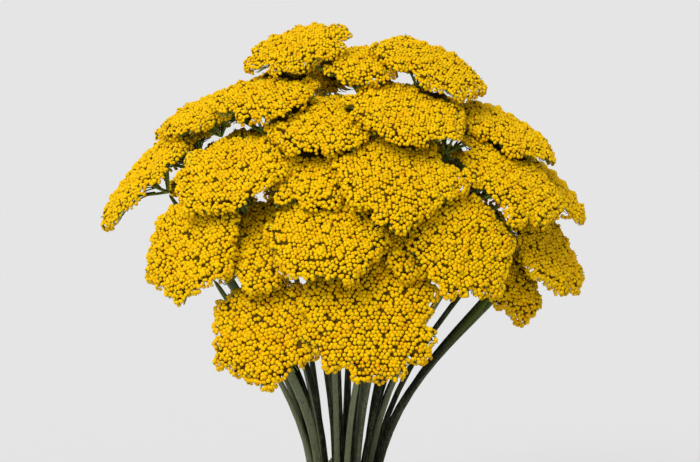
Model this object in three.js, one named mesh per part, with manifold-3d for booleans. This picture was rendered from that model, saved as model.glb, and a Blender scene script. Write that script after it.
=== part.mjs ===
// Potted yarrow: a plain clay pot of compost, eight crowns of bare flower stems with low ferny leaves
// round them, and forty-two flat yellow flower heads that close into one dome.
// Millimetres, +Z up, front towards -Y, origin at the centre of the pot's underside.
import * as THREE from "three";
import { mergeVertices } from "three/addons/utils/BufferGeometryUtils.js";
import Module from "manifold-3d";

const wasm = await Module();
wasm.setup();

// Driving dimensions
const POT = {
  height: 188, rimRadius: 108, rimHeight: 34, rimInner: 98, shoulder: 100, baseRadius: 74,
  wall: 8, floor: 11, drains: 3, drainRadius: 6, drainRing: 40, sides: 24,
};
const SOIL = { below: 16, mound: 5, gap: 0.4, sides: 24 };
// The ellipsoid that the head centres lie on, measured from the soil
const DOME = { above: 234, width: 190, rise: 186 };
const CROWN = { outer: 7, ring: 18.6, radius: 7.7, hole: 8.05, depth: 22, lip: 2, sides: 8 };
const STEM = { foot: 2.7, top: 2.2, ring: 5, middleRing: 5.8, sides: 5, steps: 4, perCrown: 5 };
const CORYMB = { reach: 0.46, tip: 1.2, gap: 0.4 };
// Where a stem may split below its head: [depth below it, shift uphill]
const HUBS = [[27, 0], [22, 0], [24, 9], [18, 9], [20, 18], [15, 18], [12, 24]];
const BEND = { step: 6, rings: 5, ways: 10, spare: 0.3, least: 0.005 };
const FLORET = { pitch: 14, rise: 4.2, jitter: 0.13 };
const HEAD = { thick: 5, edge: 3, sag: 5, lean: 0.4, lobe: 0.055, clear: 10.4 };
const EASE = {
  rounds: 150, share: 0.2, most: 3, favour: 12, margin: 2, rings: [0.35, 0.7, 1], turns: 16,
};
const LEAF = {
  count: 6, ring: 34, reach: 100, arch: 23, droop: 11, pairs: 8, half: 15, thick: 1.0, rib: 1.7,
  depth: 16, hole: 3.6,
};

// The flower heads: [degrees round from the front, degrees up the dome, radius, lift off the dome,
// degrees tipped outwards]
const HEADS = [
  // lowest row
  [-19, -3, 53, 10, 6], [7, 2, 58, 12, 6], [54, 2, 34, -10, 8], [66, 9, 50, 4, 4],
  [99, 5, 50, 2, 8], [129, 3, 53, -4, 8], [160, 4, 54, -4, 8], [192, 2, 54, -4, 8],
  [222, 3, 53, -4, 8], [250, 6, 44, -42, 8], [-68, 5, 38, -48, 0], [-41, 14, 52, 6, 16],
  // middle row
  [-23, 18, 46, -11, 0], [-4, 22, 50, 10, 0], [20, 17, 36, -12, 0], [31, 15, 51, 4, 12],
  [56, 29, 54, 14, 2], [84, 24, 49, 12, 2], [121, 26, 54, 0, 4], [156, 27, 55, -4, 4],
  [193, 26, 55, -2, 4], [226, 28, 54, -6, 4], [255, 32, 44, -24, 4], [-81, 27, 57, 7, 9],
  [-36, 35, 53, 8, 0],
  // upper row
  [16, 35, 56, 6, 0], [-10, 39, 45, -13, -2], [72, 42, 50, 12, 0], [117, 45, 52, -24, 2],
  [148, 48, 52, -18, 2], [186, 47, 53, -20, 2], [226, 49, 53, -20, 2],
  // shoulder
  [-79, 51, 52, -2, 0], [-42, 59, 47, -12, -2], [-8, 54, 51, -11, -2], [28, 52, 53, -4, 0],
  [91, 54, 38, -26, 2],
  // crown of the dome
  [14, 72, 36, -20, 4], [56, 64, 50, 0, 10], [-46, 76, 45, -17, 12], [152, 73, 50, -42, -14],
  [214, 71, 48, -46, -14],
];

const UP = new THREE.Vector3(0, 0, 1);
const radians = THREE.MathUtils.degToRad;
const soilTop = POT.height - SOIL.below;
const domeCentre = new THREE.Vector3(0, 0, soilTop + DOME.above);

// A repeatable random draw from 0 to 1
function draws(seed) {
  let state = seed;
  return () => {
    state = (state + 0x6d2b79f5) | 0;
    let t = Math.imul(state ^ (state >>> 15), 1 | state);
    t = (t + Math.imul(t ^ (t >>> 7), 61 | t)) ^ t;
    return ((t ^ (t >>> 14)) >>> 0) / 4294967296;
  };
}

// Solids
function geometryOf(points, faces) {
  const geometry = new THREE.BufferGeometry();
  const values = points.flatMap((point) => point.toArray());
  geometry.setAttribute("position", new THREE.Float32BufferAttribute(values, 3));
  return geometry.setIndex(faces.flat());
}

function solidOf(geometry) {
  const plain = geometry.clone();
  for (const name of Object.keys(plain.attributes)) if (name !== "position") plain.deleteAttribute(name);
  const merged = mergeVertices(plain, 1e-3);
  return new wasm.Manifold(
    new wasm.Mesh({
      numProp: 3,
      vertProperties: new Float32Array(merged.attributes.position.array),
      triVerts: new Uint32Array(merged.index.array),
    }),
  );
}

function geometryFrom(solid) {
  const mesh = solid.getMesh();
  const geometry = new THREE.BufferGeometry();
  geometry.setAttribute("position", new THREE.BufferAttribute(new Float32Array(mesh.vertProperties), 3));
  return geometry.setIndex(new THREE.BufferAttribute(new Uint32Array(mesh.triVerts), 1));
}

// Rings of points round a path, with a radius at each, and the walls between them
function loft(path, radii, sides) {
  const points = [];
  const faces = [];
  const side = new THREE.Vector3(1, 0.3, 0);
  path.forEach((point, i) => {
    const [before, after] = [path[Math.max(i - 1, 0)], path[Math.min(i + 1, path.length - 1)]];
    const ahead = after.clone().sub(before).normalize();
    side.addScaledVector(ahead, -side.dot(ahead)).normalize();
    const other = ahead.clone().cross(side);
    for (let k = 0; k < sides; k++) {
      const turn = (2 * Math.PI * k) / sides;
      const across = side.clone().multiplyScalar(Math.cos(turn)).addScaledVector(other, Math.sin(turn));
      points.push(point.clone().addScaledVector(across, radii[i]));
    }
  });
  for (let i = 0; i + 1 < path.length; i++) {
    for (let k = 0; k < sides; k++) {
      const a = i * sides + k;
      const b = i * sides + ((k + 1) % sides);
      faces.push([a, b, b + sides], [a, b + sides, a + sides]);
    }
  }
  for (let k = 1; k + 1 < sides; k++) faces.push([0, k + 1, k]);
  return { points, faces };
}

// A closed round bar
function bar(path, radii, sides) {
  const { points, faces } = loft(path, radii, sides);
  const last = (path.length - 1) * sides;
  for (let k = 1; k + 1 < sides; k++) faces.push([last, last + k, last + k + 1]);
  return solidOf(geometryOf(points, faces));
}

// Flower heads
// Each head is a shallow cap facing out and up, so that it overhangs the head below it as a shingle does.
function placeHead([round, up, radius, lift, tipped], index) {
  const outward = new THREE.Vector3(Math.sin(radians(round)), -Math.cos(radians(round)), 0);
  const across = new THREE.Vector3(Math.cos(radians(round)), Math.sin(radians(round)), 0);
  const centre = domeCentre.clone()
    .addScaledVector(outward, DOME.width * Math.cos(radians(up)))
    .addScaledVector(UP, DOME.rise * Math.sin(radians(up)));
  const domeNormal = outward.clone().multiplyScalar(Math.cos(radians(up)) / DOME.width)
    .addScaledVector(UP, Math.sin(radians(up)) / DOME.rise).normalize();
  const lean = HEAD.lean * domeNormal.angleTo(UP);
  const facing = domeNormal.clone().applyAxisAngle(across, radians(tipped) - lean);
  centre.addScaledVector(domeNormal, lift);
  const random = draws(101 + index);
  const lobes = [3, 5, 7].map((count) => {
    const size = HEAD.lobe * (0.6 + 0.6 * random());
    return { count, size, start: 2 * Math.PI * random() };
  });
  return { centre, facing, radius, lobes, random, spin: 2 * Math.PI * random() };
}

// The head's own axes: x and y in its plane, z the way it faces
function headAxes(head) {
  const x = new THREE.Vector3(1, 0, 0).addScaledVector(head.facing, -head.facing.x).normalize();
  const y = head.facing.clone().cross(x);
  return { x, y, z: head.facing };
}

function fromHead(head, u, v, w) {
  const { x, y, z } = headAxes(head);
  return head.centre.clone().addScaledVector(x, u).addScaledVector(y, v).addScaledVector(z, w);
}

function outline(head, turn) {
  const wave = (lobe) => (lobe.size * Math.cos(lobe.count * turn + lobe.start)) / Math.sqrt(lobe.count);
  return head.radius * (1 + head.lobes.reduce((sum, lobe) => sum + wave(lobe), 0));
}

// Height of the cap's middle surface over the head's plane
function capHeight(head, u, v) {
  const share = Math.hypot(u, v) / head.radius;
  return HEAD.sag * (0.5 - share * share);
}

// Heads that press on each other are eased apart along the way they face. The higher one stays on top
// in a near tie.
function easeApart(heads) {
  const order = [...heads].sort((a, b) => b.centre.z - a.centre.z);
  for (let round = 0; round < EASE.rounds; round++) {
    order.forEach((upper, i) => {
      for (const lower of order.slice(i + 1)) {
        if (upper.centre.distanceTo(lower.centre) > upper.radius + lower.radius + HEAD.clear) continue;
        const gaps = heightsOver(upper, lower);
        gaps.push(...heightsOver(lower, upper).map((height) => -height));
        if (!gaps.length) continue;
        const mean = gaps.reduce((sum, gap) => sum + gap, 0) / gaps.length;
        const side = mean > -EASE.favour ? 1 : -1;
        const short = HEAD.clear - Math.min(...gaps.map((gap) => side * gap));
        if (short <= 0) continue;
        const step = side * EASE.share * Math.min(short, EASE.most);
        upper.centre.addScaledVector(upper.facing, step);
        lower.centre.addScaledVector(lower.facing, -step);
      }
    });
  }
  return heads;
}

// Heights of places on one head over another, where the two overlap
function heightsOver(head, other) {
  const { x, y, z } = headAxes(other);
  const heights = [];
  for (const share of EASE.rings) {
    for (let k = 0; k < EASE.turns; k++) {
      const turn = (2 * Math.PI * k) / EASE.turns;
      const [u, v] = [Math.cos(turn), Math.sin(turn)].map((part) => part * share * outline(head, turn));
      const point = fromHead(head, u, v, capHeight(head, u, v)).sub(other.centre);
      const [s, t] = [point.dot(x), point.dot(y)];
      if (Math.hypot(s, t) > outline(other, Math.atan2(t, s)) + EASE.margin) continue;
      heights.push(point.dot(z) - capHeight(other, s, t));
    }
  }
  return heights;
}

// A honeycomb of florets over the cap: each floret is a six-sided boss, and the head closes with a
// shallow cone below.
function headSolid(head) {
  const points = [];
  const faces = [];
  const corners = new Map();
  const rows = Math.ceil((1.3 * head.radius) / FLORET.pitch);
  const shifted = (value) => value + FLORET.jitter * FLORET.pitch * (head.random() - 0.5);
  const latticePoint = (i, j) => {
    const u = FLORET.pitch * (i + j / 2);
    const v = FLORET.pitch * j * Math.sqrt(3) / 2;
    const [cos, sin] = [Math.cos(head.spin), Math.sin(head.spin)];
    return [u * cos - v * sin, u * sin + v * cos];
  };
  // A hollow between three florets, named by its place in the honeycomb
  const corner = (i, j, sixth) => {
    const turn = head.spin + (Math.PI / 3) * sixth + Math.PI / 6;
    const [u0, v0] = latticePoint(i, j);
    const u = u0 + (FLORET.pitch / Math.sqrt(3)) * Math.cos(turn);
    const v = v0 + (FLORET.pitch / Math.sqrt(3)) * Math.sin(turn);
    const key = Math.round(u * 50) + "," + Math.round(v * 50);
    if (!corners.has(key)) {
      corners.set(key, points.length);
      points.push([shifted(u), shifted(v), 0]);
    }
    return corners.get(key);
  };
  const edges = new Map();
  for (let j = -rows; j <= rows; j++) {
    for (let i = -2 * rows; i <= 2 * rows; i++) {
      const [u, v] = latticePoint(i, j);
      if (Math.hypot(u, v) > outline(head, Math.atan2(v, u)) - 0.42 * FLORET.pitch) continue;
      const ring = [0, 1, 2, 3, 4, 5].map((k) => corner(i, j, k));
      const apex = points.length;
      points.push([shifted(u), shifted(v), FLORET.rise * (0.8 + 0.4 * head.random())]);
      ring.forEach((from, k) => {
        const to = ring[(k + 1) % 6];
        faces.push([apex, from, to]);
        edges.set(from + "," + to, [from, to]);
      });
    }
  }
  // Edges used once are the rim; the underside fans from them to the middle
  const rim = [...edges.values()].filter(([from, to]) => !edges.has(to + "," + from));
  const onRim = new Set(rim.flat());
  const foot = points.length;
  points.push([0, 0, -HEAD.thick]);
  for (const [from, to] of rim) faces.push([foot, to, from]);
  const local = points.map(([u, v, w], k) => (
    new THREE.Vector3(u, v, capHeight(head, u, v) + w - (onRim.has(k) ? HEAD.edge : 0))
  ));
  head.underside = rim.map(([from, to]) => new THREE.Triangle(local[foot], local[to], local[from]));
  return solidOf(geometryOf(local.map((p) => fromHead(head, p.x, p.y, p.z)), faces));
}

// The height of a head's underside over a point of its plane
function undersideAt(head, u, v) {
  const line = new THREE.Ray(new THREE.Vector3(u, v, -100), UP);
  const hit = new THREE.Vector3();
  for (const { a, b, c } of head.underside) if (line.intersectTriangle(a, b, c, false, hit)) return hit.z;
  return -HEAD.thick;
}

// Stems
// The innermost heads belong to the middle crown, and the rest to the crowns round it, by their place
// round the dome. The middle crown's first stem stands in its centre.
function dealToCrowns(heads) {
  const reach = (head) => Math.hypot(head.centre.x, head.centre.y);
  const fromMiddle = [...heads].sort((a, b) => reach(a) - reach(b));
  const outerCount = CROWN.outer * STEM.perCrown;
  const innerCount = heads.length - outerCount;
  const inner = fromMiddle.slice(1, innerCount).sort((a, b) => roundOf(a) - roundOf(b));
  const outer = fromMiddle.slice(innerCount).sort((a, b) => roundOf(a) - roundOf(b));
  const middle = { name: "stems_middle", turn: roundOf(inner[0]), ring: 0, heads: inner };
  const crowns = [{ ...middle, centreHead: fromMiddle[0] }];
  const groups = [];
  for (let k = 0; k < outerCount; k += STEM.perCrown) groups.push(outer.slice(k, k + STEM.perCrown));
  const sector = (2 * Math.PI) / CROWN.outer;
  const mean = (list) => list.reduce((sum, value) => sum + value, 0) / list.length;
  const start = mean(groups.map((group, k) => mean(group.map(roundOf)) - k * sector));
  groups.forEach((group, k) => {
    const turn = start + k * sector;
    crowns.push({ name: "stems_" + (k + 1), turn, ring: CROWN.ring, heads: slotted(group) });
  });
  return crowns;
}

// Feet go round a crown from its outer left: the lowest heads take the two outer feet, and the highest
// takes the inner one.
function slotted(group) {
  const byHeight = [...group].sort((a, b) => a.centre.z - b.centre.z);
  const [first, second, third, fourth, highest] = byHeight;
  const low = [first, second].sort((a, b) => roundOf(a) - roundOf(b));
  const middle = [third, fourth].sort((a, b) => roundOf(a) - roundOf(b));
  return [low[0], low[1], middle[1], highest, middle[0]];
}

function roundOf(head) {
  return Math.atan2(head.centre.x, -head.centre.y);
}

// A point on the compost, by its direction round from the front and its distance from the middle
function onSoil(turn, distance, above) {
  return new THREE.Vector3(distance * Math.sin(turn), -distance * Math.cos(turn), soilTop + above);
}

function stemPath(foot, head, [depth, shift], bend) {
  const uphill = UP.clone().addScaledVector(head.facing, -head.facing.z).normalize();
  const hub = fromHead(head, 0, 0, -depth).addScaledVector(uphill, shift);
  const run = hub.distanceTo(foot);
  return new THREE.CubicBezierCurve3(
    foot,
    foot.clone().addScaledVector(UP, 0.46 * run).addScaledVector(bend, 0.3),
    hub.clone().addScaledVector(head.facing.clone().add(UP).normalize(), -0.2 * run).add(bend),
    hub,
  );
}

// A bare stem that splits at its top into three-sided rays, one from each of its sides, which carry
// the head
function flowerStem(foot, head, hub, bend, spare = 0) {
  const path = stemPath(foot, head, hub, bend).getPoints(STEM.steps);
  const radii = path.map((_, i) => spare + STEM.foot + (STEM.top - STEM.foot) * (i / STEM.steps));
  const { points, faces } = loft(path, radii, STEM.sides);
  const last = STEM.steps * STEM.sides;
  const centre = points.length;
  points.push(path[STEM.steps]);
  const { x, y } = headAxes(head);
  const firstSide = points[last].clone().lerp(points[last + 1], 0.5).sub(path[STEM.steps]);
  const firstTurn = Math.atan2(firstSide.dot(y), firstSide.dot(x));
  for (let k = 0; k < STEM.sides; k++) {
    const turn = firstTurn + (2 * Math.PI * k) / STEM.sides;
    const [u, v] = [Math.cos(turn), Math.sin(turn)].map((part) => part * CORYMB.reach * head.radius);
    const base = [centre, last + k, last + ((k + 1) % STEM.sides)];
    const tip = [turn + Math.PI, turn - Math.PI / 3, turn + Math.PI / 3].map((way) => {
      const [s, t] = [u + CORYMB.tip * Math.cos(way), v + CORYMB.tip * Math.sin(way)];
      points.push(fromHead(head, s, t, undersideAt(head, s, t) - CORYMB.gap));
      return points.length - 1;
    });
    for (const [i, j] of [[0, 1], [1, 2], [2, 0]]) {
      faces.push([base[i], base[j], tip[j]], [base[i], tip[j], tip[i]]);
    }
    faces.push(tip);
  }
  return solidOf(geometryOf(points, faces));
}

// Ways that a stem may bend aside: straight up first, then further and further out
function bends() {
  const list = [new THREE.Vector3()];
  for (let ring = 1; ring <= BEND.rings; ring++) {
    for (let k = 0; k < BEND.ways; k++) {
      const turn = (2 * Math.PI * (k + ring / 2)) / BEND.ways;
      list.push(new THREE.Vector3(Math.cos(turn), Math.sin(turn), 0).multiplyScalar(ring * BEND.step));
    }
  }
  return list;
}

function boxesMeet(one, other) {
  return [0, 1, 2].every((axis) => one.min[axis] < other.max[axis] && other.min[axis] < one.max[axis]);
}

function meets(one, other) {
  return boxesMeet(one.boundingBox(), other.boundingBox()) && one.intersect(other).volume() > BEND.least;
}

// A stem that passes between the other heads and the stems of the other crowns, bent no further than
// it needs
function clearStem(foot, head, obstacles) {
  for (const hub of HUBS) {
    for (const bend of bends()) {
      const stout = flowerStem(foot, head, hub, bend, BEND.spare);
      const blocked = obstacles.some((obstacle) => meets(stout, obstacle));
      if (!blocked) return flowerStem(foot, head, hub, bend);
    }
  }
  throw new Error("no clear way up for a stem");
}

function crownSolid(crown, heads, earlier) {
  const solidsBut = (own) => heads.filter((head) => head !== own).map((head) => head.solid);
  let solid = bar(
    [-CROWN.depth, CROWN.lip].map((above) => onSoil(crown.turn, crown.ring, above)),
    [CROWN.radius, CROWN.radius], CROWN.sides,
  );
  const middle = onSoil(crown.turn, crown.ring, CROWN.lip - 1);
  if (crown.centreHead) {
    const obstacles = [...solidsBut(crown.centreHead), ...earlier];
    solid = solid.add(clearStem(middle, crown.centreHead, obstacles));
  }
  crown.heads.forEach((head, k) => {
    const turn = crown.turn + (2 * Math.PI * (k - (crown.ring ? 0.5 : 0))) / crown.heads.length;
    const out = crown.ring ? STEM.ring : STEM.middleRing;
    const foot = middle.clone().add(new THREE.Vector3(out * Math.sin(turn), -out * Math.cos(turn), 0));
    solid = solid.add(clearStem(foot, head, [...solidsBut(head), ...earlier]));
  });
  return solid;
}

// Leaves
function leafTurn(index) {
  return (2 * Math.PI * index) / LEAF.count;
}

// A ferny leaf: an arched rib with pairs of leaflets cut to it, alike on both faces
function leafSolid(index) {
  const random = draws(700 + index);
  const turn = leafTurn(index);
  const outward = new THREE.Vector3(Math.sin(turn), -Math.cos(turn), 0);
  const across = new THREE.Vector3(Math.cos(turn), Math.sin(turn), 0);
  const root = onSoil(turn, LEAF.ring, 2 - LEAF.depth);
  const along = (out, above) => root.clone().addScaledVector(outward, out).addScaledVector(UP, above);
  const top = LEAF.depth + LEAF.arch;
  const arch = new THREE.CubicBezierCurve3(
    root,
    along(0, top + 8 * random()),
    along(0.5 * LEAF.reach, top),
    along(LEAF.reach - 8 * random(), top - LEAF.droop),
  );
  const points = [];
  const faces = [];
  const face = (a, b, c) => faces.push([a, b, c], [b + 1, a + 1, c + 1]);
  const wall = (a, b) => faces.push([a, a + 1, b + 1], [a, b + 1, b]);
  const pair = (share, side, reach) => {
    const middle = arch.getPoint(share);
    const normal = arch.getTangent(share).cross(across).negate().normalize();
    const lifted = middle.clone().addScaledVector(across, side);
    lifted.addScaledVector(arch.getTangent(share), reach);
    for (const half of [LEAF.thick / 2, -LEAF.thick / 2]) {
      points.push(lifted.clone().addScaledVector(normal, half));
    }
    return points.length - 2;
  };
  const first = 0.3;
  const stations = [0, 0.15];
  for (let k = 0; k <= LEAF.pairs; k++) stations.push(first + ((0.97 - first) * k) / LEAF.pairs);
  const rib = stations.map((share) => [pair(share, -LEAF.rib / 2, 0), pair(share, LEAF.rib / 2, 0)]);
  for (let k = 0; k + 1 < rib.length; k++) {
    const [a, b] = rib[k];
    const [c, d] = rib[k + 1];
    face(a, b, d);
    face(a, d, c);
    if (k < 2) {
      wall(c, a);
      wall(b, d);
      continue;
    }
    const share = (k - 2) / (LEAF.pairs - 1);
    const half = LEAF.half * (0.45 + 0.55 * Math.sin(Math.PI * (0.16 + 0.8 * share)));
    const left = pair(stations[k] + 0.02, -half, 0.45 * half);
    const right = pair(stations[k] + 0.02, half, 0.45 * half);
    face(a, c, left);
    face(d, b, right);
    wall(left, a);
    wall(c, left);
    wall(b, right);
    wall(right, d);
  }
  const [tipLeft, tipRight] = rib[rib.length - 1];
  const tip = pair(1, 0, 0);
  face(tipLeft, tipRight, tip);
  wall(tip, tipLeft);
  wall(tipRight, tip);
  const [rootLeft, rootRight] = rib[0];
  wall(rootLeft, rootRight);
  return solidOf(geometryOf(points, faces));
}

// Pot and compost
function turnedSolid(profile, sides) {
  const points = profile.map(([r, z]) => new THREE.Vector2(r, z));
  return new THREE.LatheGeometry(points, sides).rotateX(Math.PI / 2);
}

function innerRadius(z) {
  const share = (z - POT.floor) / (POT.height - POT.rimHeight - POT.floor);
  return POT.baseRadius - POT.wall + share * (POT.shoulder - POT.baseRadius);
}

function potSolid() {
  const band = POT.height - POT.rimHeight;
  let solid = solidOf(turnedSolid([
    [0, 0], [POT.baseRadius, 0], [POT.shoulder, band], [POT.rimRadius - 1, band + 1],
    [POT.rimRadius, POT.height - 3], [POT.rimRadius - 3, POT.height], [POT.rimInner, POT.height - 1],
    [innerRadius(band), band], [innerRadius(POT.floor), POT.floor], [0, POT.floor],
  ], POT.sides));
  for (let k = 0; k < POT.drains; k++) {
    const turn = (2 * Math.PI * k) / POT.drains;
    const drain = [-1, POT.floor + 1].map((z) => onSoil(turn, POT.drainRing, z - soilTop));
    solid = solid.subtract(bar(drain, [POT.drainRadius, POT.drainRadius], 10));
  }
  return solid;
}

function soilSolid(crowns) {
  const band = POT.height - POT.rimHeight;
  const edgeHeight = soilTop - SOIL.mound;
  const share = (edgeHeight - band) / (POT.height - 1 - band);
  const edge = innerRadius(band) + share * (POT.rimInner - innerRadius(band)) - SOIL.gap;
  let solid = solidOf(turnedSolid([
    [0, POT.floor + SOIL.gap], [innerRadius(POT.floor) - SOIL.gap, POT.floor + SOIL.gap],
    [innerRadius(band) - SOIL.gap, band], [edge, edgeHeight], [0.6 * edge, soilTop], [0, soilTop],
  ], SOIL.sides));
  // Plain holes for the crowns and the leaf stalks
  for (const crown of crowns) {
    const hole = [-CROWN.depth - 0.4, 12].map((above) => onSoil(crown.turn, crown.ring, above));
    solid = solid.subtract(bar(hole, [CROWN.hole, CROWN.hole], CROWN.sides));
  }
  for (let k = 0; k < LEAF.count; k++) {
    const hole = [-LEAF.depth, 12].map((above) => onSoil(leafTurn(k), LEAF.ring + 1, above));
    solid = solid.subtract(bar(hole, [LEAF.hole, LEAF.hole], 6));
  }
  return solid;
}

// The whole plant
const CLAY = { color: 0xb5694a, roughness: 0.9, metalness: 0 };
const COMPOST = { color: 0x3a2a1e, roughness: 1, metalness: 0 };
const YELLOW = { color: 0xf2b705, roughness: 0.75, metalness: 0 };
const STEM_GREEN = { color: 0x55603f, roughness: 0.7, metalness: 0 };
const LEAF_GREEN = { color: 0x5f7a4a, roughness: 0.75, metalness: 0 };

const plant = new THREE.Group();

function add(name, geometry, look) {
  const mesh = new THREE.Mesh(geometry, new THREE.MeshStandardMaterial(look));
  mesh.name = name;
  plant.add(mesh);
}

const heads = easeApart(HEADS.map(placeHead));
for (const head of heads) head.solid = headSolid(head);
const crowns = dealToCrowns(heads);

add("pot", geometryFrom(potSolid()), CLAY);
add("compost", geometryFrom(soilSolid(crowns)), COMPOST);
const stems = [];
for (const crown of crowns) stems.push(crownSolid(crown, heads, stems));
crowns.forEach((crown, k) => add(crown.name, geometryFrom(stems[k]), STEM_GREEN));
for (let k = 0; k < LEAF.count; k++) add("leaf_" + (k + 1), geometryFrom(leafSolid(k)), LEAF_GREEN);
heads.forEach((head, k) => {
  add("flower_head_" + String(k + 1).padStart(2, "0"), geometryFrom(head.solid), YELLOW);
});

export default plant;
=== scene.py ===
# %% [markdown]
# # A potted yarrow
# A clump of golden yarrow stands in a clay pot. Its bare stems carry flat heads of tiny buttons that
# overlap like shingles and close into one dome. The packed solids give every head, stem, leaf and the
# pot their place and size, and this lesson grows the fine surface over them: buttons, stalks, ridges,
# ferny leaflets, crumbs of compost and dry fired clay.

# %% The packed solids and their box
import math
import random

import bmesh
import bpy
import numpy as np
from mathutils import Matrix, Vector
from mathutils.bvhtree import BVHTree


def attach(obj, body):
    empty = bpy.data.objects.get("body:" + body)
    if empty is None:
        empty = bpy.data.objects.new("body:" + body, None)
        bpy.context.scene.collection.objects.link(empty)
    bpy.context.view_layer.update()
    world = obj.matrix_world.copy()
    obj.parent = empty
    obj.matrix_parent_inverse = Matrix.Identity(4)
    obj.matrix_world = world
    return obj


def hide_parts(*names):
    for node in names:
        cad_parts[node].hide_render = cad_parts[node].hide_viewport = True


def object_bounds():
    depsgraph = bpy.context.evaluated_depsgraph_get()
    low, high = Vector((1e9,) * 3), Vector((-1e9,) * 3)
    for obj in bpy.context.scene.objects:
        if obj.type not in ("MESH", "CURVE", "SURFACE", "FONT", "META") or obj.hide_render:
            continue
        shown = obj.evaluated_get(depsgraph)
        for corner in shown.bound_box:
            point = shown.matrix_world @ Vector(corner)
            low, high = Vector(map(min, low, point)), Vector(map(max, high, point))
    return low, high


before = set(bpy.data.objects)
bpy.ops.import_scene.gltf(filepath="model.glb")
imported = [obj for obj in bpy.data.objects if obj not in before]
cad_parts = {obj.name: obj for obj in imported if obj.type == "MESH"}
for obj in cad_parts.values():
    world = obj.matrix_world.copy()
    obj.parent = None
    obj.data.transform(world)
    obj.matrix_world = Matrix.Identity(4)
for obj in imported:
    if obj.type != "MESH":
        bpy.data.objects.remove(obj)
solid_box = [list(corner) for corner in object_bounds()]
MM = 0.001
SOIL_TOP = 172 * MM
print("solids:", len(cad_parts), "box in mm:", [[round(v / MM) for v in c] for c in solid_box])

# %% [markdown]
# ## The camera
# The photograph was taken from a little above the middle of the dome with a long lens, so the stems
# hardly converge. A long lens far away does the same. The pot's axis and the top of the compost are
# placed at their column and row of the photograph, which fixes where the camera looks.

# %% A long lens a little above the dome
FRAME_WIDTH, FRAME_HEIGHT = 700, 462
PIXEL = 0.9 * MM
ELEVATION = math.radians(12)
DISTANCE = 2.0
AXIS_COLUMN, SOIL_ROW = 343, 514
SENSOR = 36

look_up = Vector((0, math.sin(ELEVATION), math.cos(ELEVATION)))
look_along = Vector((0, math.cos(ELEVATION), -math.sin(ELEVATION)))
target = Vector((0, 0, SOIL_TOP)) + look_up * (SOIL_ROW - FRAME_HEIGHT / 2) * PIXEL
target.x = (FRAME_WIDTH / 2 - AXIS_COLUMN) * PIXEL

lens = bpy.data.cameras.new("camera")
lens.sensor_width = SENSOR
lens.lens = SENSOR * DISTANCE / (PIXEL * FRAME_WIDTH)
lens.clip_end = 100
camera = bpy.data.objects.new("camera", lens)
camera.location = target - look_along * DISTANCE
camera.rotation_euler = look_along.to_track_quat("-Z", "Y").to_euler()
bpy.context.scene.collection.objects.link(camera)
bpy.context.scene.camera = camera
print("focal length", round(lens.lens, 1), "mm at", DISTANCE, "m")

# %% [markdown]
# ## Writing a finish as arithmetic
# A finish is a small sum of patterns: a base colour, plus a little noise, times a mask. Wiring that by
# hand hides the sum, so a class wraps a socket and turns + - and * into Math nodes. Colours go through
# Mix nodes, because a Math node would turn them grey. Every other node comes from one method, for the
# world's light as well as for a material.

# %% A value that can be added, subtracted and multiplied
class Field:
    def __init__(self, finish, socket):
        self.finish = finish
        self.socket = socket

    def reckon(self, operation, *terms):
        return self.finish.node("ShaderNodeMath", {"operation": operation}, dict(enumerate(terms)))

    def __add__(self, other):
        return self.reckon("ADD", self, other)

    def __radd__(self, other):
        return self.reckon("ADD", other, self)

    def __sub__(self, other):
        return self.reckon("SUBTRACT", self, other)

    def __rsub__(self, other):
        return self.reckon("SUBTRACT", other, self)

    def __mul__(self, other):
        return self.reckon("MULTIPLY", self, other)

    def __rmul__(self, other):
        return self.reckon("MULTIPLY", other, self)

    def between(self, low, high):
        settings = {"interpolation_type": "SMOOTHSTEP"}
        return self.finish.node("ShaderNodeMapRange", settings, {0: self, 1: low, 2: high})


print("operators:", sorted(name for name in vars(Field) if name.endswith(("add__", "sub__", "mul__"))))


# %% A finish: one material, or the world, and the nodes that make it
class Finish:
    def __init__(self, name, makers=bpy.data.materials, shader="Principled BSDF"):
        self.owner = makers.new(name)
        self.owner.use_nodes = True
        self.tree = self.owner.node_tree
        self.shader = self.tree.nodes[shader]

    def node(self, kind, settings=None, inputs=None, output=0):
        made = self.tree.nodes.new(kind)
        for name, value in (settings or {}).items():
            setattr(made, name, value)
        for name, value in (inputs or {}).items():
            self.plug(made.inputs[name], value)
        return Field(self, made.outputs[output])

    def plug(self, socket, value):
        if isinstance(value, Field):
            self.tree.links.new(value.socket, socket)
        else:
            socket.default_value = value

    def where(self, stretch=(1, 1, 1)):
        place = self.node("ShaderNodeTexCoord", output="Object")
        if stretch == (1, 1, 1):
            return place
        return self.node("ShaderNodeVectorMath", {"operation": "MULTIPLY"}, {0: place, 1: stretch})

    def noise(self, size, detail=3, rough=0.55, stretch=(1, 1, 1)):
        inputs = {"Vector": self.where(stretch), "Scale": 1 / size, "Detail": detail, "Roughness": rough}
        return self.node("ShaderNodeTexNoise", {}, inputs)

    def cells(self, size):
        inputs = {"Vector": self.where(), "Scale": 1 / size}
        return self.node("ShaderNodeTexVoronoi", {"feature": "F1"}, inputs)

    def blend(self, share, low, high):
        inputs = {0: share, 6: low, 7: high}
        return self.node("ShaderNodeMix", {"data_type": "RGBA"}, inputs, output=2)

    def bump(self, height, depth, strength):
        inputs = {"Height": height, "Distance": depth, "Strength": strength}
        return self.node("ShaderNodeBump", {}, inputs)

    def surface(self, **sockets):
        for name, value in sockets.items():
            self.plug(self.shader.inputs[name.replace("_", " ")], value)
        return self.owner


print("a finish can now be written as a sum")

# %% [markdown]
# ## Light and floor
# The picture is a plain studio one: pale ground, no hard shadow, and a broad light from the upper left
# that leaves each head a soft dark edge at its lower right. A pale world gives the fill, a little
# dimmer overhead so that the pits between the buttons stay dark. Its strength is written like a finish,
# as a ramp over how high one looks. A sun with a very wide disc gives the key and lights a large floor
# evenly, which a lamp near the plant would not.

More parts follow.
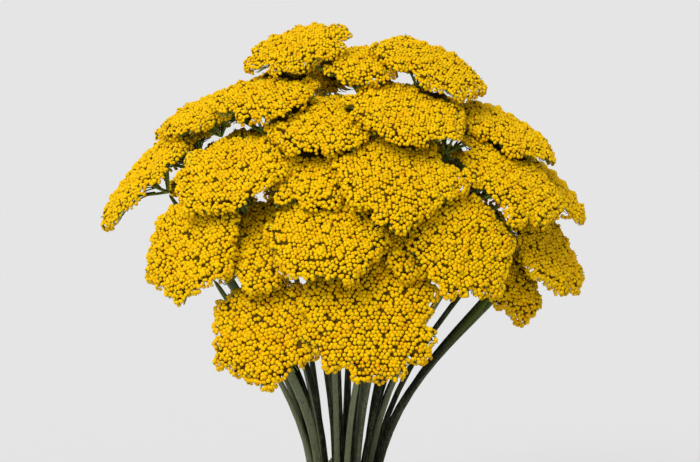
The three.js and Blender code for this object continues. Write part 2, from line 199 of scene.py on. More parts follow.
# %% A pale world
HORIZON, ZENITH = 0.775, 0.52
HORIZON_BAND = 0.6

world = Finish("studio", bpy.data.worlds, "Background")
toward = world.node("ShaderNodeTexCoord", output="Generated")
upward = world.node("ShaderNodeSeparateXYZ", {}, {0: toward}, output="Z")
ramp = {"Value": upward, "From Max": HORIZON_BAND, "To Min": HORIZON, "To Max": ZENITH}
brightness = world.node("ShaderNodeMapRange", {}, ramp)
bpy.context.scene.world = world.surface(Color=(1, 1, 1, 1), Strength=brightness)
bpy.context.scene.view_settings.view_transform = "Standard"
print("world strength:", HORIZON, "at the horizon,", ZENITH, "overhead")

# %% A wide key light and a plain floor
KEY_STRENGTH = 2.7
KEY_SPREAD = math.radians(38)
KEY_FROM = Vector((-0.55, -0.75, 1.15))
FLOOR_RADIUS = 30

sun = bpy.data.lights.new("key", "SUN")
sun.energy = KEY_STRENGTH
sun.angle = KEY_SPREAD
key = bpy.data.objects.new("key", sun)
key.rotation_euler = KEY_FROM.to_track_quat("Z", "Y").to_euler()
bpy.context.scene.collection.objects.link(key)

floor_mesh = bmesh.new()
bmesh.ops.create_circle(floor_mesh, cap_ends=True, segments=64, radius=FLOOR_RADIUS)
floor_data = bpy.data.meshes.new("floor")
floor_mesh.to_mesh(floor_data)
floor_mesh.free()
floor = bpy.data.objects.new("floor", floor_data)
bpy.context.scene.collection.objects.link(floor)
print("key light spread", round(math.degrees(KEY_SPREAD)), "degrees")

# %% [markdown]
# ## The finish of the floor
# Studio paper is matt and nearly white. A faint fibre in it is enough, as the camera never comes close.

# %% Pale studio paper
FLOOR_TONE = (0.65, 0.65, 0.65, 1)
FIBRE_TONE = (0.64025, 0.64025, 0.64025, 1)

paper = Finish("studio_paper")
fibre = paper.noise(4 * MM, detail=2)
tone = paper.blend(fibre, FLOOR_TONE, FIBRE_TONE)
floor_data.materials.append(paper.surface(Base_Color=tone, Roughness=0.9, Specular_IOR_Level=0.1))
print("floor finish:", paper.owner.name)

# %% [markdown]
# ## The golden buttons
# Each button is a tight bunch of tiny flowers. Its crown is a warm full yellow, and towards its base it
# is painted orange and olive as shade, where little light gets in; a share of height kept on the mesh
# gives that painted shade. A random value for each button keeps neighbours apart, as their age does in
# the real head, and heads low on the dome are painted a darker orange as shade from the light above.

# %% Buttons: yellow crowns, painted shade at their bases and on low heads
BUTTON_CROWN = (0.78, 0.50, 0.0, 1)
BUTTON_RIPE_AND_SHADED = (0.73, 0.37, 0.0, 1)
BUTTON_BASE_SHADE = (0.30, 0.15, 0.001, 1)

buttons = Finish("golden_buttons")
rise = buttons.node("ShaderNodeAttribute", {"attribute_name": "rise"}, output="Fac")
own = buttons.node("ShaderNodeNewGeometry", output="Random Per Island")
up = buttons.node("ShaderNodeSeparateXYZ", {}, {0: buttons.where()}, output=2)
# painted shade: heads low on the dome turn a darker orange; the random terms are each button's own tone
low = 1 - up.between(260 * MM, 440 * MM)
ripe_and_low_shade = (own * 0.6 + buttons.noise(18 * MM) * 0.7 + low * 0.4 - 0.35).between(0.1, 0.9)
crown = buttons.blend(ripe_and_low_shade, BUTTON_CROWN, BUTTON_RIPE_AND_SHADED)
# painted shade: each button turns a dark orange-brown towards its base
lit = rise.between(-0.1, 0.5)
grain = buttons.cells(0.75 * MM)
button_finish = buttons.surface(
    Base_Color=buttons.blend(lit, BUTTON_BASE_SHADE, crown),
    Roughness=0.62 + grain * 0.2,
    Normal=buttons.bump(1 - grain, 0.25 * MM, 0.6),
    Specular_IOR_Level=0.08,
)
print("button finish:", button_finish.name)

# %% [markdown]
# ## Green stalks, stems and leaves
# Yarrow is grey-green because fine down covers it, so all its greens are nearly matt, and the leaves
# keep a faint sheen. Stems carry fine ridges along their length, so their noise is stretched along the
# upright: pale on the ridges, near black in the grooves as painted shade, brown in the odd scar, and no
# two stems quite alike. Towards the heads the green turns fresher and yellower, and so do the short
# stalks.

# %% Stalks, stems and leaves
STALK_FRESH = (0.30, 0.36, 0.055, 1)
STALK_DARK = (0.12, 0.17, 0.025, 1)
STALK_SHADE = (0.085, 0.048, 0.001, 1)
STEM_PALE = (0.215, 0.240, 0.135, 1)
STEM_DARK_AND_SHADE = (0.004, 0.007, 0.002, 1)
STEM_FRESH = (0.105, 0.145, 0.017, 1)
STEM_SCAR = (0.030, 0.012, 0.006, 1)
LEAF_PALE = (0.22, 0.30, 0.10, 1)
LEAF_DARK = (0.10, 0.15, 0.045, 1)

stalks = Finish("corymb_stalks")
out_in_light = stalks.node("ShaderNodeAttribute", {"attribute_name": "rise"}, output="Fac")
stalk_green = stalks.blend(stalks.noise(5 * MM).between(0.3, 0.7), STALK_DARK, STALK_FRESH)
stalk_finish = stalks.surface(
    # painted shade: the cushion under the buttons is coloured dark olive-brown; the fan and fringe stalks
    # get the green
    Base_Color=stalks.blend(out_in_light, STALK_SHADE, stalk_green),
    Roughness=0.6 + stalks.noise(2 * MM) * 0.2,
    Normal=stalks.bump(stalks.noise(0.8 * MM), 0.2 * MM, 0.5),
    Specular_IOR_Level=0.06,
)

stems = Finish("ridged_stems")
ridges = stems.noise(0.9 * MM, detail=2, stretch=(1, 1, 0.02))
each_stem = stems.node("ShaderNodeNewGeometry", output="Random Per Island")
scars = stems.noise(7 * MM, detail=4).between(0.66, 0.74)
patches = stems.noise(14 * MM, detail=2, stretch=(1, 1, 0.15))
# painted shade: the ridge noise darkens the grooves to near black; the per-stem and patch terms are each
# stem's own tone
share = each_stem * 0.5 + ridges * 0.7 + patches * 0.3 - 0.25
green = stems.blend(share.between(0.22, 0.88), STEM_DARK_AND_SHADE, STEM_PALE)
fresh = stems.node("ShaderNodeAttribute", {"attribute_name": "rise"}, output="Fac")
green = stems.blend(fresh * 0.85, green, STEM_FRESH)
stem_finish = stems.surface(
    Base_Color=stems.blend(scars, green, STEM_SCAR),
    Roughness=0.45 + ridges * 0.25,
    Normal=stems.bump(ridges, 0.6 * MM, 0.8),
    Specular_IOR_Level=0.08,
)

fronds = Finish("ferny_leaves")
leaf_finish = fronds.surface(
    Base_Color=fronds.blend(fronds.noise(12 * MM).between(0.3, 0.7), LEAF_DARK, LEAF_PALE),
    Roughness=0.6 + fronds.noise(3 * MM) * 0.2,
    Normal=fronds.bump(fronds.noise(1.2 * MM), 0.3 * MM, 0.6),
    Sheen_Weight=0.1,
    Sheen_Roughness=0.5,
    Specular_IOR_Level=0.2,
)
print("green finishes:", stalk_finish.name, stem_finish.name, leaf_finish.name)

# %% [markdown]
# ## Fired clay and compost
# A hand-thrown pot keeps faint rings from the thrower's fingers, a sandy grain, darker flecks, and a
# pale bloom of salts where water dries, strongest at the foot and below the rim. Compost is near black
# with brown fibre and a few pale grains of grit.

# %% Terracotta and compost
CLAY_WARM = (0.50, 0.19, 0.095, 1)
CLAY_DARK = (0.34, 0.115, 0.06, 1)
CLAY_BLOOM = (0.66, 0.45, 0.34, 1)
COMPOST_DARK = (0.018, 0.011, 0.007, 1)
COMPOST_FIBRE = (0.085, 0.045, 0.022, 1)
GRIT = (0.32, 0.28, 0.22, 1)

clay = Finish("fired_clay")
height = clay.node("ShaderNodeSeparateXYZ", {}, {0: clay.where()}, output=2)
flecks = clay.noise(1.6 * MM, detail=5, rough=0.7)
blotch = clay.noise(45 * MM, detail=4)
bloom = (1 - height.between(0.0, 70 * MM)) * 0.55 + height.between(120 * MM, 165 * MM) * 0.25
bloom = (bloom + blotch * 0.9 - 0.55).between(0.05, 0.75)
body = clay.blend(flecks.between(0.3, 0.65), CLAY_DARK, CLAY_WARM)
rings = clay.noise(5 * MM, detail=2, stretch=(0.04, 0.04, 1))
clay_finish = clay.surface(
    Base_Color=clay.blend(bloom * 0.8, body, CLAY_BLOOM),
    Roughness=0.82 + flecks * 0.14,
    Normal=clay.bump(rings * 0.7 + flecks * 0.3, 0.8 * MM, 0.5),
    Specular_IOR_Level=0.2,
)

soil = Finish("compost")
crumb = soil.noise(3.5 * MM, detail=5, rough=0.7)
pale = soil.cells(6 * MM)
dark = soil.blend(crumb.between(0.35, 0.7), COMPOST_DARK, COMPOST_FIBRE)
soil_finish = soil.surface(
    Base_Color=soil.blend((1 - pale.between(0.06, 0.1)) * 0.8, dark, GRIT),
    Roughness=0.9 + crumb * 0.1,
    Normal=soil.bump(crumb, 2.5 * MM, 0.8),
    Specular_IOR_Level=0.15,
)
print("clay and compost ready")

# %% [markdown]
# ## From numbers to a piece
# Every piece below is worked out as points and faces in plain arrays. One helper turns them into an
# object, gives it its finish, and makes it ride on the plant's one body in place of its solid.

# %% A piece from points and faces
def piece(name, points, faces, finish, stands_for=None, rises=None):
    mesh = bpy.data.meshes.new(name)
    mesh.from_pydata([tuple(p) for p in points], [], [tuple(f) for f in faces])
    mesh.materials.append(finish)
    if rises is not None:
        kept = mesh.attributes.new("rise", "FLOAT", "POINT")
        kept.data.foreach_set("value", np.asarray(rises, dtype=np.float32))
    mesh.polygons.foreach_set("use_smooth", np.full(len(mesh.polygons), True))
    made = bpy.data.objects.new(name, mesh)
    bpy.context.scene.collection.objects.link(made)
    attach(made, "root")
    if stands_for:
        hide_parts(stands_for)
    return made


def unit(vector):
    return vector / np.linalg.norm(vector)


# %% Corners and triangles of a solid
def corners_and_triangles(node):
    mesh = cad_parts[node].data
    mesh.calc_loop_triangles()
    points = np.array([v.co for v in mesh.vertices])
    triangles = np.array([t.vertices for t in mesh.loop_triangles])
    _, first, index = np.unique(np.round(points / 1e-6), axis=0, return_index=True, return_inverse=True)
    index = index.ravel()[triangles]
    kept = (index[:, 0] != index[:, 1]) & (index[:, 1] != index[:, 2]) & (index[:, 2] != index[:, 0])
    return points[first], index[kept]


# %% [markdown]
# ## Reading a flower head off its solid
# Each head's solid is a shallow cap with raised bosses, closed underneath by a cone to one corner. That
# corner belongs to more triangles than any other, so it is easy to find. The faces round it are the
# underside, the rest is the top, and the top's summed area gives the way the head faces. That is all
# the head needs: a plane, a rim, its bosses and a surface to drop buttons on.

# %% Plane, rim, bosses and top of a head
CONE_DEPTH = 2.5 * MM
RAY_FROM = 20 * MM
BOSS_STANDS = 1 * MM
RIM_WAVES = (2, 3, 5, 9)
RIM_WAVE_SIZE = 0.26


class Head:
    def __init__(self, node):
        self.node = node
        self.points, self.faces = corners_and_triangles(node)
        self.foot = np.bincount(self.faces.ravel()).argmax()
        under = (self.faces == self.foot).any(axis=1)
        self.top, self.under = self.faces[~under], self.faces[under]
        a, b, c = (self.points[self.top[:, k]] for k in range(3))
        self.facing = unit(np.cross(b - a, c - a).sum(axis=0))
        self.centre = self.points[self.foot] + CONE_DEPTH * self.facing
        self.x = unit(np.cross((0, 1, 0), self.facing))
        self.y = np.cross(self.facing, self.x)
        self.surface = BVHTree.FromPolygons(self.points.tolist(), self.top.tolist())
        self.rim = self.walk_rim()
        self.flat = (self.points - self.centre) @ np.array([self.x, self.y, self.facing]).T
        self.radius = np.linalg.norm(self.flat[self.rim, :2], axis=1).mean()
        draw = random.Random(node)
        self.waves = [(k, draw.uniform(0, 2 * math.pi)) for k in RIM_WAVES]

    def walk_rim(self):
        following = {}
        for face in self.under:
            k = list(face).index(self.foot)
            following[face[(k + 2) % 3]] = face[(k + 1) % 3]
        walk = [next(iter(following))]
        while following[walk[-1]] != walk[0]:
            walk.append(following[walk[-1]])
        return np.array(walk)

    def fullness(self, spot):
        turn = math.atan2(spot[1], spot[0])
        wave = sum(math.sin(n * turn + shift) for n, shift in self.waves)
        return min(1, max(0, 0.5 + RIM_WAVE_SIZE * wave))

    def world(self, flat):
        return self.centre + np.asarray(flat) @ np.array([self.x, self.y, self.facing])

    def height(self, u, v):
        start = self.world((u, v, RAY_FROM))
        hit = self.surface.ray_cast(Vector(start), Vector(-self.facing))[0]
        return None if hit is None else float((np.array(hit) - self.centre) @ self.facing)

    def bosses(self):
        highest = np.full(len(self.points), -1.0)
        for k in range(3):
            for j in (1, 2):
                np.maximum.at(highest, self.top[:, k], self.flat[self.top[:, (k + j) % 3], 2])
        inner = np.setdiff1d(np.unique(self.top), self.rim)
        return self.flat[[p for p in inner if self.flat[p, 2] > highest[p] + BOSS_STANDS]]


heads = [Head(name) for name in sorted(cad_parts) if name.startswith("flower_head")]
print("heads:", len(heads), "radii in mm:", sorted({round(h.radius / MM) for h in heads}))

# %% [markdown]
# ## One button
# A button is a low five-sided dome, about 3.5 mm across on the high heads and 4.3 mm on the low, riper
# ones. It has no underside, because nothing can see it. Hundreds of copies make a head, so it has as
# few faces as still look round. Its radius is a little over half the distance to the next button, so
# that neighbours just touch.

# %% The button's shape
BUTTON_SIDES = 5
BUTTON_SHARE = 0.62
BUTTON_RINGS = [(1.0, -0.5), (0.74, 0.25)]
BUTTON_TOP = 0.5


def button_shape():
    points, faces = [], []
    for reach, up in BUTTON_RINGS:
        for k in range(BUTTON_SIDES):
            turn = 2 * math.pi * k / BUTTON_SIDES
            points.append((reach * math.cos(turn), reach * math.sin(turn), up))
    points.append((0, 0, BUTTON_TOP))
    for k in range(BUTTON_SIDES):
        j = (k + 1) % BUTTON_SIDES
        faces += [(k, j, BUTTON_SIDES + j), (k, BUTTON_SIDES + j, BUTTON_SIDES + k)]
        faces.append((BUTTON_SIDES + k, BUTTON_SIDES + j, 2 * BUTTON_SIDES))
    return np.array(points), np.array(faces)


BUTTON, BUTTON_FACES = button_shape()
BUTTON_RISE = (BUTTON[:, 2] - BUTTON[:, 2].min()) / np.ptp(BUTTON[:, 2])
print("faces in a button:", len(BUTTON_FACES))

# %% [markdown]
# ## Where the buttons sit
# Buttons crowd like coins on a table, so they start on a honeycomb. Each is then nudged, sized and
# tilted a little by a seeded draw. The height comes from the solid's top, averaged over a few
# millimetres, which turns its angular bosses into the soft swells of the real head. Round the rim, one
# to four rows hang outwards and down, so that an edge looks ragged and full, not cut. A spot that
# another head hides on every side is left empty, as nobody would see its button.

# %% Spots over the top of a head
PITCH_HIGH, PITCH_LOW = 2.85 * MM, 3.5 * MM
ROW_STEP = 0.866
NUDGE = 0.22
SEARCH_ROWS, SEARCH_REACH = 1.4, 1.25
SWELL = 3.0 * MM
SINK = 0.9 * MM
OWN_HEIGHT = 0.4
UNEVEN = (-0.8, 0.7)
PIT_DEPTH = 0.35 * MM
LEFT_OUT, LEFT_OUT_IN_PIT = 0.015, 0.12
ROUND = [(math.cos(k * math.pi / 3), math.sin(k * math.pi / 3)) for k in range(6)]
CLEAR_OF_SELF = 4.5 * MM
COVER = 22 * MM
LOOK_ASIDE = 0.9
lowest = min(head.centre[2] for head in heads)
highest = max(head.centre[2] for head in heads)
corners, sides, count = [], [], 0
for head in heads:
    corners += head.points.tolist()
    sides += (head.faces + count).tolist()
    count += len(head.points)
all_heads = BVHTree.FromPolygons(corners, sides)


def pitch_of(head):
    return PITCH_LOW + (PITCH_HIGH - PITCH_LOW) * (head.centre[2] - lowest) / (highest - lowest)


def covered(head, flat):
    start = Vector(head.world(flat) + head.facing * CLEAR_OF_SELF)
    for c, s in [(0, 0)] + ROUND:
        way = Vector(head.facing + LOOK_ASIDE * (c * head.x + s * head.y)).normalized()
        if all_heads.ray_cast(start, way, COVER)[0] is None:
            return False
    return True


def spots_on_top(head, draw):
    spots = []
    pitch = pitch_of(head)
    nudge = NUDGE * pitch
    reach = int(SEARCH_ROWS * head.radius / pitch)
    turn = draw.random() * math.pi
    for j in range(-reach, reach + 1):
        for i in range(-reach, reach + 1):
            a, b = pitch * (i + 0.5 * (j % 2)), pitch * j * ROW_STEP
            u = a * math.cos(turn) - b * math.sin(turn) + draw.uniform(-nudge, nudge)
            v = a * math.sin(turn) + b * math.cos(turn) + draw.uniform(-nudge, nudge)
            here = head.height(u, v) if math.hypot(u, v) < SEARCH_REACH * head.radius else None
            if here is None:
                continue
            near = [head.height(u + SWELL * c, v + SWELL * s) for c, s in ROUND]
            slope = [0, 0]
            for k in range(6):
                if near[k] is not None and near[(k + 3) % 6] is not None:
                    slope[0] += (near[k] - near[(k + 3) % 6]) * ROUND[k][0] / (6 * SWELL)
                    slope[1] += (near[k] - near[(k + 3) % 6]) * ROUND[k][1] / (6 * SWELL)
            heights = [h for h in near if h is not None]
            mean = (sum(heights) + here) / (len(heights) + 1)
            if draw.random() < (LEFT_OUT_IN_PIT if mean - here > PIT_DEPTH else LEFT_OUT):
                continue
            level = OWN_HEIGHT * here + (1 - OWN_HEIGHT) * mean - SINK + draw.uniform(*UNEVEN) * MM
            if covered(head, (u, v, here)):
                continue
            spots.append(((u, v, level), (-slope[0], -slope[1], 1)))
    return spots


print("pitch in mm:", sorted({round(pitch_of(head) / MM, 1) for head in heads}))

# %% Spots round the rim
RIM_ROWS = [
    (1.4 * MM, -0.2 * MM, (0.6, 0.8)),
    (-1.1 * MM, 1.2 * MM, (1.0, 0.3)),
    (-3.7 * MM, 1.6 * MM, (1.0, -0.2)),
    (-6.2 * MM, 0.6 * MM, (0.9, -0.5)),
]
FULLEST = 2.6 * MM
LEFT_OUT_AT_RIM = 0.12


def spots_round_rim(head, draw):
    spots = []
    loop = head.flat[head.rim]
    step = pitch_of(head)
    fullest = FULLEST * (head.centre[2] - lowest) / (highest - lowest)
    for start, end in zip(loop, np.roll(loop, -1, axis=0)):
        along = end - start
        length = np.linalg.norm(along[:2])
        out = np.array((along[1], -along[0])) / length
        if out @ start[:2] < 0:
            out = -out
        count = max(1, round(length / step))
        for k in range(count):
            full = head.fullness(start + along * k / count)
            for up, outward, (aside, upright) in RIM_ROWS[: 1 + round(3 * full)]:
                if draw.random() < LEFT_OUT_AT_RIM:
                    continue
                spot = start + along * (k + draw.uniform(0.1, 0.9)) / count
                spot[:2] += out * (outward + full * fullest + draw.uniform(-0.7, 0.4) * MM)
                spot[2] += up + draw.uniform(-0.6, 0.6) * MM
                if not covered(head, spot):
                    spots.append((tuple(spot), (out[0] * aside, out[1] * aside, upright)))
    return spots


print("rows round a rim, at most:", len(RIM_ROWS))

# %% A head's buttons as one piece
TILT = 0.36
SIZES = (0.82, 1.12)
SPARE = 0.3 * MM
INSIDE = (np.array(solid_box[0]) + SPARE, np.array(solid_box[1]) - SPARE)


def kept_inside(groups):
    over = np.maximum(groups.max(axis=1) - INSIDE[1], 0)
    under = np.maximum(INSIDE[0] - groups.min(axis=1), 0)
    return (groups + (under - over)[:, None, :]).reshape(-1, 3)


def grow_buttons(head, seed):
    draw = random.Random(seed)
    spots = spots_on_top(head, draw) + spots_round_rim(head, draw)
    place = np.array([s[0] for s in spots])
    way = np.array([s[1] for s in spots], dtype=float)
    way += np.array([[draw.uniform(-TILT, TILT) for _ in range(3)] for _ in spots])
    way /= np.linalg.norm(way, axis=1)[:, None]
    side = np.cross(way, np.array([[draw.uniform(-1, 1) for _ in range(3)] for _ in spots]))
    side /= np.linalg.norm(side, axis=1)[:, None]
    other = np.cross(way, side)
    size = np.array([draw.uniform(*SIZES) for _ in spots]) * BUTTON_SHARE * pitch_of(head)
    axes = np.stack([side, other, way], axis=1) * size[:, None, None]
    local = np.einsum("vk,nkj->nvj", BUTTON, axes) + place[:, None, :]
    points = kept_inside(head.world(local.reshape(-1, 3)).reshape(len(spots), -1, 3))
    offsets = (np.arange(len(spots)) * len(BUTTON))[:, None, None]
    faces = (BUTTON_FACES[None] + offsets).reshape(-1, 3)
    name = head.node.replace("flower_head", "buttons")
    piece(name, points, faces, button_finish, head.node, np.tile(BUTTON_RISE, len(spots)))
    return len(spots)


grown = [grow_buttons(head, 300 + k) for k, head in enumerate(heads)]
print("buttons:", sum(grown), "triangles:", sum(grown) * len(BUTTON_FACES))

# %% [markdown]
# ## Under the buttons
# A head is carried by a fan of stalks that fork again and again from the top of its stem. From above
# one sees only a dark green closeness between the buttons, so a shallow cushion just below them stands
# for the crowd of short stalks; it is painted a dark olive-brown as shade. From the side the fan itself
# shows, so each boss of the head gets a stalk of its own that leaves one of the five rays and spreads in
# twigs under the buttons. The solids end a stem at one of a few places under its head, each a depth
# below it and a shift up its slope in millimetres, so the place with a stem's corner on it is the right
# one.

# %% Where each stem ends under its head
HUBS = [(27, 0), (22, 0), (24, 9), (18, 9), (20, 18), (15, 18), (12, 24)]
TIP_RING, TIP_DEPTH, TIP_SIZE = (0.3, 0.65), 7 * MM, 4 * MM
stem_names = sorted(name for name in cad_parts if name.startswith("stems"))
stem_solids = {name: corners_and_triangles(name) for name in stem_names}
stem_corners = np.vstack([points for points, _ in stem_solids.values()])


def hub_of(head):
    uphill = unit(np.array((0, 0, 1)) - head.facing * head.facing[2])
    tries = [head.centre - depth * MM * head.facing + shift * MM * uphill for depth, shift in HUBS]
    misses = [np.linalg.norm(stem_corners - spot, axis=1).min() for spot in tries]
    best = int(np.argmin(misses))
    return tries[best], misses[best]


def ray_tips(head):
    flat = (stem_corners - head.centre) @ np.array([head.x, head.y, head.facing]).T
    out = np.linalg.norm(flat[:, :2], axis=1) / head.radius
    close = flat[(out > TIP_RING[0]) & (out < TIP_RING[1]) & (flat[:, 2] > -TIP_DEPTH) & (flat[:, 2] < 0)]
    tips = []
    for corner in close:
        group = next((t for t in tips if np.linalg.norm(t[0] - corner) < TIP_SIZE), None)
        if group is None:
            tips.append([corner])
        else:
            group.append(corner)
    return [np.mean(t, axis=0) for t in tips if len(t) >= 2]


for head in heads:
    head.hub, head.miss = hub_of(head)
    head.tips = ray_tips(head)
print("worst hub miss in mm:", round(max(h.miss for h in heads) / MM, 2))
print("rays found:", sorted({len(h.tips) for h in heads}))

# %% A thin stalk along a bent line
def stalk(points, faces, start, bend, end, thick, thin, steps=3, sides=3):
    base = len(points)
    for k in range(steps + 1):
        t = k / steps
        spot = (1 - t) ** 2 * start + 2 * t * (1 - t) * bend + t * t * end
        way = unit(2 * (1 - t) * (bend - start) + 2 * t * (end - bend) + 1e-9)
        side = unit(np.cross(way, (0.31, 0.83, 0.46)))
        other = np.cross(way, side)
        for j in range(sides):
            turn = 2 * math.pi * j / sides
            width = thick + (thin - thick) * t
            points.append(spot + width * (math.cos(turn) * side + math.sin(turn) * other))
    for k in range(steps):
        for j in range(sides):
            a, b = base + sides * k + j, base + sides * k + (j + 1) % sides
            faces += [(a, b, b + sides), (a, b + sides, a + sides)]


# %% Cushion, rays, stalks and twigs of a head
HUB_INSIDE, RAY_BOW = 2 * MM, 0.12
STALK_DROP, TWIG_DROP = 7.5 * MM, 3.4 * MM
TWIGS = 3
CUSHION_DROP = 2.3 * MM
CUSHION_INSET = 0.94
RAY_THICK, RAY_THIN = 1.45 * MM, 0.8 * MM
STALK_THICK, STALK_THIN, TWIG_THIN = 0.75 * MM, 0.5 * MM, 0.35 * MM
TWIG_SPREAD = 4.6 * MM
FRINGE_STEP, FRINGE_REACH = 4.2 * MM, 2.4 * MM
FRINGE_ROOT, FRINGE_DROP, FRINGE_SAG = (0.72, 0.88), (-0.5, 3.5), 1.5 * MM


def grow_cushion(head):
    flat = head.flat.copy()
    top = np.setdiff1d(np.unique(head.top), head.rim)
    flat[top, 2] -= CUSHION_DROP
    flat[head.rim, :2] *= CUSHION_INSET
    return list(head.world(flat)), [tuple(f) for f in head.faces]


def grow_fan(head, draw, points, faces):
    hub, tips = head.hub, [head.world(tip) for tip in head.tips]
    for tip in tips:
        aside = tip - hub - head.facing * ((tip - hub) @ head.facing)
        bend = hub + (tip - hub) * 0.5 + aside * RAY_BOW
        start = hub - head.facing * HUB_INSIDE
        stalk(points, faces, start, bend, tip, RAY_THICK, RAY_THIN, steps=4, sides=5)
    for boss in head.bosses():
        end = head.world((boss[0], boss[1], boss[2] - STALK_DROP))
        tip = min(tips, key=lambda t: np.linalg.norm(t - end))
        start = hub + (tip - hub) * draw.uniform(0.15, 0.7)
        bend = start + (tip - hub) * 0.25 + (end - start) * 0.35
        stalk(points, faces, start, bend, end, STALK_THICK, STALK_THIN)
        for _ in range(TWIGS):
            turn = draw.uniform(0, 2 * math.pi)
            spread = TWIG_SPREAD * np.array((math.cos(turn), math.sin(turn)))
            tuft = head.world((boss[0] + spread[0], boss[1] + spread[1], boss[2] - TWIG_DROP))
            fork = start + (end - start) * 0.7
            stalk(points, faces, fork, end, tuft, STALK_THIN, TWIG_THIN, steps=2)


def grow_fringe(head, draw, points, faces):
    loop = head.flat[head.rim]
    for start, end in zip(loop, np.roll(loop, -1, axis=0)):
        bare = 1 - head.fullness(start)
        crowd = (0.6 + 2 * bare) * np.linalg.norm(end - start) / FRINGE_STEP
        for _ in range(max(1, round(crowd))):
            spot = start + (end - start) * draw.random()
            out = spot[:2] / np.linalg.norm(spot[:2])
            reach, root = draw.uniform(0.2, 1.0) * FRINGE_REACH, draw.uniform(*FRINGE_ROOT)
            inner = np.array((*(spot[:2] * root), spot[2] - 1.2 * MM))
            outer = np.array((*(spot[:2] + out * reach), spot[2] - draw.uniform(*FRINGE_DROP) * MM))
            middle = (inner + outer) / 2 - np.array((0, 0, FRINGE_SAG))
            ends = head.world((inner, middle, outer))
            stalk(points, faces, *ends, STALK_THIN, TWIG_THIN, steps=2)


def grow_corymb(head, seed):
    draw = random.Random(seed)
    points, faces = grow_cushion(head)
    in_shade = len(points)
    grow_fan(head, draw, points, faces)
    grow_fringe(head, draw, points, faces)
    in_light = [0] * in_shade + [1] * (len(points) - in_shade)
    points = np.clip(points, *INSIDE)
    name = head.node.replace("flower_head", "corymb")
    piece(name, points, faces, stalk_finish, rises=in_light)
    return len(faces)


corymbs = [grow_corymb(head, 700 + k) for k, head in enumerate(heads)]
print("triangles under the buttons:", sum(corymbs))

# %% [markdown]
# ## The stems
# The solids give each stem five sides and four straight lengths, with its rays already joined on. A
# subdivision surface bends those lengths into one smooth curve and rounds the sides, but it also draws
# the skin inwards. So the skin is let out again along its normals until the stem has its real width.
# The mesh tools number corners anew on each run, and a stem's random shade hangs on those numbers, so
# corners and faces are first put in one fixed order.

# %% Smooth stems from the solid ones
CROWN_TOP = SOIL_TOP + 2.05 * MM
TIP_REACH = 3.2 * MM
FOOT_DEPTH = 8 * MM
LET_OUT = 0.55 * MM
FRESH_LENGTH = 90 * MM
JOIN_ANGLE = math.radians(60)


def bare_stems(name):
    points, faces = stem_solids[name]
    tips = np.array([head.world(tip) for head in heads for tip in head.tips])
    to_tip = np.linalg.norm(points[:, None] - tips[None], axis=2).min(axis=1)
    ray_end = to_tip < TIP_REACH
    in_crown = points[:, 2] < CROWN_TOP
    mesh = bmesh.new()
    corners = [mesh.verts.new(p) for p in points]
    for face in faces:
        if not ray_end[face].any() and not in_crown[face].all():
            mesh.faces.new([corners[k] for k in face])
    bmesh.ops.delete(mesh, geom=[v for v in mesh.verts if not v.link_faces], context="VERTS")
    return mesh


def in_order(mesh):
    corners = sorted(mesh.verts, key=lambda corner: tuple(corner.co))
    rank = {corner: k for k, corner in enumerate(corners)}
    loops = []
    for face in mesh.faces:
        loop = [rank[corner] for corner in face.verts]
        first = loop.index(min(loop))
        loops.append(tuple(loop[first:] + loop[:first]))
    return [tuple(corner.co) for corner in corners], [], sorted(loops)


def smooth_stems(name):
    mesh = bare_stems(name)
    edges = [e for e in mesh.edges if e.is_boundary]
    feet = [e for e in edges if max(v.co.z for v in e.verts) < CROWN_TOP]
    bmesh.ops.holes_fill(mesh, edges=[e for e in edges if e not in feet], sides=0)
    grown = bmesh.ops.extrude_edge_only(mesh, edges=feet)["geom"]
    for corner in grown:
        if isinstance(corner, bmesh.types.BMVert):
            corner.co.z -= FOOT_DEPTH
    limits = {"angle_face_threshold": JOIN_ANGLE, "angle_shape_threshold": math.pi}
    bmesh.ops.join_triangles(mesh, faces=mesh.faces[:], **limits)
    bmesh.ops.recalc_face_normals(mesh, faces=mesh.faces[:])
    coarse = bpy.data.meshes.new(name + "_coarse")
    coarse.from_pydata(*in_order(mesh))
    mesh.free()
    holder = bpy.data.objects.new(name + "_coarse", coarse)
    bpy.context.scene.collection.objects.link(holder)
    rounding = holder.modifiers.new("rounding", "SUBSURF")
    rounding.levels = 2
    graph = bpy.context.evaluated_depsgraph_get()
    fine = holder.evaluated_get(graph).to_mesh()
    place = np.array([v.co + v.normal * LET_OUT for v in fine.vertices])
    quads = [tuple(p.vertices) for p in fine.polygons]
    bpy.data.objects.remove(holder)
    away = np.min([np.linalg.norm(place - head.hub, axis=1) for head in heads], axis=0)
    fresh = np.clip(1 - away / FRESH_LENGTH, 0, 1)
    piece(name.replace("stems", "stem_bundle"), place, quads, stem_finish, name, fresh)
    return len(quads)


quads = [smooth_stems(name) for name in stem_names]
print("faces in the stems:", sum(quads))

# %% [markdown]
# ## The leaves
# A yarrow leaf is cut twice: side leaflets along a rib, each with fine teeth of its own. The solid leaf
# gives the rib's arch and the leaf's width. The leaflets here are flat fans of teeth, closer together
# than in the solid, each bent down a little at its tip.

# %% The rib of a solid leaf
RIB_HALF, RIB_CLUSTER = 1.1 * MM, 2.6 * MM


def rib_of(node):
    points, _ = corners_and_triangles(node)
    outward = unit(points[:, :2].mean(axis=0))
    across = np.array((-outward[1], outward[0]))
    near = points[np.abs(points[:, :2] @ across) < RIB_HALF]
    groups = []
    for corner in near:
        group = next((g for g in groups if np.linalg.norm(g[0] - corner) < RIB_CLUSTER), None)
        if group is None:
            groups.append([corner])
        else:
            group.append(corner)
    stations = [np.mean(g, axis=0) for g in groups]
    line = [min(stations, key=lambda s: s[2] + np.linalg.norm(s[:2]))]
    rest = [s for s in stations if s is not line[0]]
    while rest:
        rest.sort(key=lambda s: np.linalg.norm(s - line[-1]))
        line.append(rest.pop(0))
    return np.array(line), np.append(across, 0)


leaf_names = sorted(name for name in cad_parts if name.startswith("leaf"))
print("marks along the ribs:", [len(rib_of(name)[0]) for name in leaf_names])

